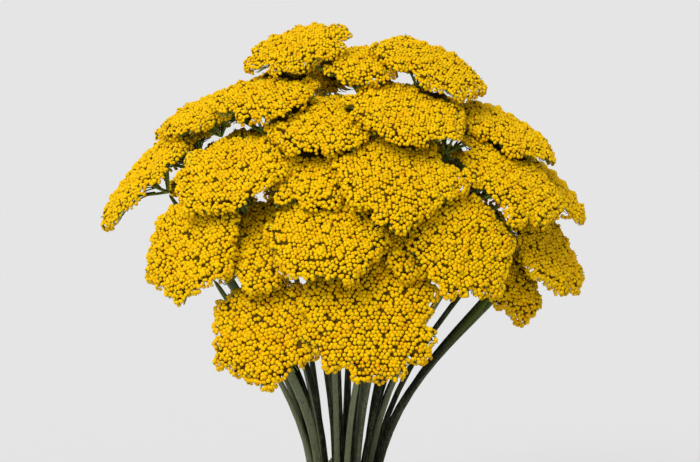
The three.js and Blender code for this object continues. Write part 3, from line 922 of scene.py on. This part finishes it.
# %% Leaflets along the rib
LEAFLETS = 17
LEAFLET_LENGTH = 13.5 * MM
TEETH = 5
LEAF_FROM = 0.24
LEAFLET_SAG, LEAFLET_SWEEP = 0.16, 0.22
TOOTH_WIDTH, TOOTH_REACH = 0.17, 0.11
LEAF_THICKNESS = 0.35 * MM
RIB_WIDTH, RIB_TAPER, RIB_STEPS = 0.9 * MM, 0.6, 24


def along_line(line, share):
    steps = np.linalg.norm(np.diff(line, axis=0), axis=1)
    marks = np.concatenate([[0], np.cumsum(steps)]) / steps.sum()
    spot = np.array([np.interp(share, marks, line[:, k]) for k in range(3)])
    ahead = np.array([np.interp(min(share + 0.02, 1), marks, line[:, k]) for k in range(3)])
    back = np.array([np.interp(max(share - 0.02, 0), marks, line[:, k]) for k in range(3)])
    return spot, unit(ahead - back)


def leaflet(points, faces, root, out, forward, up, length):
    base = len(points)
    points += [root - forward * 0.5 * MM, root + forward * 0.5 * MM]
    for k in range(1, TEETH + 1):
        t = k / TEETH
        middle = root + length * (out * t - up * LEAFLET_SAG * t * t + forward * LEAFLET_SWEEP * t)
        half = TOOTH_WIDTH * length * math.sin(math.pi * (0.2 + 0.75 * t)) + 0.3 * MM
        slim = half * 0.3
        tooth = out * length * TOOTH_REACH
        lift = up * (0.9 if k % 2 else -0.5) * MM
        points += [middle - forward * slim, middle + forward * slim]
        points += [middle - forward * half + tooth + lift, middle + forward * half + tooth - lift]
        a = base if k == 1 else base + 2 + 4 * (k - 2)
        b = base + 2 + 4 * (k - 1)
        faces += [(a, b, b + 1), (a, b + 1, a + 1), (a, b + 2, b), (a + 1, b + 1, b + 3)]


def grow_leaf(node, seed):
    draw = random.Random(seed)
    line, across = rib_of(node)
    points, faces = [], []
    for k in range(RIB_STEPS):
        start, end = (along_line(line, (k + j) / RIB_STEPS)[0] for j in (0, 1))
        width = RIB_WIDTH * (1 - RIB_TAPER * k / RIB_STEPS)
        stalk(points, faces, start, (start + end) / 2, end, width, width * 0.97, steps=1)
    for k in range(LEAFLETS):
        t = k / (LEAFLETS - 1)
        spot, way = along_line(line, LEAF_FROM + (0.99 - LEAF_FROM) * t)
        up = unit(np.cross(across, way))
        up = up if up[2] > 0 else -up
        length = LEAFLET_LENGTH * (0.35 + 0.65 * math.sin(math.pi * (0.14 + 0.82 * t)))
        for side in (-1, 1):
            size = length * draw.uniform(0.85, 1.05)
            leaflet(points, faces, spot, side * across, way, up, size)
    made = piece(node.replace("leaf", "frond"), points, faces, leaf_finish, node)
    skin = made.modifiers.new("thickness", "SOLIDIFY")
    skin.thickness = LEAF_THICKNESS
    skin.offset = 0
    return len(faces)


print("faces in the leaves:", sum(grow_leaf(name, 900 + k) for k, name in enumerate(leaf_names)))

# %% [markdown]
# ## The pot
# A thrown pot is round, with a rolled rim and a slightly bellied wall. A turned outline swept round the
# axis gives that. Each corner of the outline is softened, as wet clay leaves no sharp arris, and the
# finger rings are left to the clay's bump. The three drain holes are cut as on the solid.

# %% A turned pot
POT_TURNS = 96
POT_OUTLINE = [
    (0, 0), (71, 0), (73.2, 0.9), (74.2, 3), (80.9, 43), (87.2, 81), (93.6, 119), (98.6, 149),
    (99.9, 152.6), (102.5, 154), (105.2, 154.8), (106.8, 157), (107.3, 163), (107.7, 178), (107.3, 184),
    (106, 187), (104, 188), (101, 187.9), (99, 186.6), (98.1, 184), (92.6, 154), (79.6, 81), (69, 20),
    (66.6, 13), (63, 11), (0, 11),
]


def turned(outline, turns):
    points, faces = [], []
    inner = [(r, z) for r, z in outline if r > 0]
    for r, z in inner:
        for k in range(turns):
            turn = 2 * math.pi * (k + 0.5) / turns
            points.append((r * MM * math.sin(turn), -r * MM * math.cos(turn), z * MM))
    for row in range(len(inner) - 1):
        for k in range(turns):
            a, b = row * turns + k, row * turns + (k + 1) % turns
            faces.append((a, b, b + turns, a + turns))
    points += [(0, 0, outline[0][1] * MM), (0, 0, outline[-1][1] * MM)]
    low, high, last = len(points) - 2, len(points) - 1, (len(inner) - 1) * turns
    for k in range(turns):
        j = (k + 1) % turns
        faces += [(low, j, k), (high, last + k, last + j)]
    return points, faces


pot_points, pot_faces = turned(POT_OUTLINE, POT_TURNS)
mesh = bpy.data.meshes.new("turned_pot")
mesh.from_pydata(pot_points, [], pot_faces)
mesh.materials.append(clay_finish)
pot = bpy.data.objects.new("turned_pot", mesh)
bpy.context.scene.collection.objects.link(pot)
print("faces before the holes:", len(pot_faces))

# %% Three drain holes
DRAINS, DRAIN_RADIUS, DRAIN_RING = 3, 6 * MM, 40 * MM
DRILL_DEPTH, DRILL_SIDES = 40 * MM, 24
SHARP_FROM = math.radians(40)

drills = bmesh.new()
for k in range(DRAINS):
    turn = 2 * math.pi * k / DRAINS
    width = {"radius1": DRAIN_RADIUS, "radius2": DRAIN_RADIUS, "depth": DRILL_DEPTH}
    made = bmesh.ops.create_cone(drills, cap_ends=True, segments=DRILL_SIDES, **width)
    spot = (DRAIN_RING * math.sin(turn), -DRAIN_RING * math.cos(turn), 0)
    bmesh.ops.translate(drills, verts=made["verts"], vec=spot)
drill_mesh = bpy.data.meshes.new("drills")
drills.to_mesh(drill_mesh)
drills.free()
drill = bpy.data.objects.new("drills", drill_mesh)
bpy.context.scene.collection.objects.link(drill)
cut = pot.modifiers.new("drains", "BOOLEAN")
cut.operation = "DIFFERENCE"
cut.object = drill
graph = bpy.context.evaluated_depsgraph_get()
drained = bpy.data.meshes.new_from_object(pot.evaluated_get(graph))
pot.modifiers.clear()
pot.data = drained
bpy.data.objects.remove(drill)
pot.data.polygons.foreach_set("use_smooth", np.full(len(pot.data.polygons), True))
pot.data.set_sharp_from_angle(angle=SHARP_FROM)
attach(pot, "root")
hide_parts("pot")
print("faces in the pot:", len(pot.data.polygons))

# %% [markdown]
# ## The compost
# Compost settles into a low mound with a soft uneven top and loose crumbs. The mound is a disc of rings
# whose heights follow the solid's slope, roughened by seeded waves, and it closes just above the pot's
# floor. The crumbs are small many-sided lumps, half sunk, thickest away from the stems.

# %% A crumbly mound
SOIL_RINGS, SOIL_TURNS = 34, 90
SOIL_EDGE_RADIUS, SOIL_EDGE_DROP, SOIL_FLAT = 94.6 * MM, 5 * MM, 0.6
SOIL_LOW, SOIL_LOW_RADIUS = 11.6 * MM, 64 * MM
SOIL_WAVES, WAVES_PER_METRE, WAVE_RISE = 14, (120, 620), 2.6 * MM


def soil_height(r):
    share = max(0, (r / SOIL_EDGE_RADIUS - SOIL_FLAT) / (1 - SOIL_FLAT))
    return SOIL_TOP - SOIL_EDGE_DROP * share


def grow_soil(seed):
    draw = random.Random(seed)
    waves = []
    for _ in range(SOIL_WAVES):
        waves.append((draw.uniform(*WAVES_PER_METRE), draw.uniform(0, 6.3), draw.uniform(0, 6.3)))

    def rough(x, y):
        return sum(math.sin(w * (x * math.cos(a) + y * math.sin(a)) + b) for w, a, b in waves) / SOIL_WAVES

    points, faces = [(0, 0, SOIL_TOP)], []
    for i in range(1, SOIL_RINGS + 1):
        r = SOIL_EDGE_RADIUS * i / SOIL_RINGS
        for k in range(SOIL_TURNS):
            turn = 2 * math.pi * k / SOIL_TURNS
            x, y = r * math.cos(turn), r * math.sin(turn)
            z = soil_height(r) - 1 * MM + WAVE_RISE * rough(x, y) + draw.uniform(-0.5, 0.5) * MM
            points.append((x, y, z))
    for k in range(SOIL_TURNS):
        faces.append((0, 1 + k, 1 + (k + 1) % SOIL_TURNS))
    for i in range(SOIL_RINGS - 1):
        for k in range(SOIL_TURNS):
            a = 1 + i * SOIL_TURNS + k
            b = 1 + i * SOIL_TURNS + (k + 1) % SOIL_TURNS
            faces.append((a, a + SOIL_TURNS, b + SOIL_TURNS, b))
    rim = 1 + (SOIL_RINGS - 1) * SOIL_TURNS
    low = len(points)
    for k in range(SOIL_TURNS):
        turn = 2 * math.pi * k / SOIL_TURNS
        points.append((SOIL_LOW_RADIUS * math.cos(turn), SOIL_LOW_RADIUS * math.sin(turn), SOIL_LOW))
        j = (k + 1) % SOIL_TURNS
        faces.append((rim + k, low + k, low + j, rim + j))
    faces.append(tuple(low + k for k in reversed(range(SOIL_TURNS))))
    return points, faces, draw


soil_points, soil_faces, soil_draw = grow_soil(41)
print("faces in the mound:", len(soil_faces))

# %% Crumbs on the mound
CRUMBS = 900
CRUMB_SIZES, CRUMB_SINK, CRUMB_FLATNESS = (0.8, 2.3), 0.6 * MM, 0.7

lump = bmesh.new()
bmesh.ops.create_icosphere(lump, subdivisions=1, radius=1)
LUMP = np.array([v.co for v in lump.verts])
LUMP_FACES = [tuple(v.index for v in f.verts) for f in lump.faces]
lump.free()
for _ in range(CRUMBS):
    r = SOIL_EDGE_RADIUS * math.sqrt(soil_draw.uniform(0.02, 0.96))
    turn = soil_draw.uniform(0, 2 * math.pi)
    size = soil_draw.uniform(*CRUMB_SIZES) * MM
    knobs = [[soil_draw.uniform(0.6, 1.2)] * 3 for _ in LUMP]
    shape = LUMP * knobs * np.array((1, 1, CRUMB_FLATNESS)) * size
    spot = np.array((r * math.cos(turn), r * math.sin(turn), soil_height(r) - CRUMB_SINK))
    base = len(soil_points)
    soil_points += [tuple(p) for p in shape + spot]
    soil_faces += [tuple(base + k for k in f) for f in LUMP_FACES]

piece("crumbly_mound", soil_points, soil_faces, soil_finish, "compost")
print("faces in the compost:", len(soil_faces))

# %% [markdown]
# ## The box of the solids
# The visual plant has to stay inside the box of its solids.
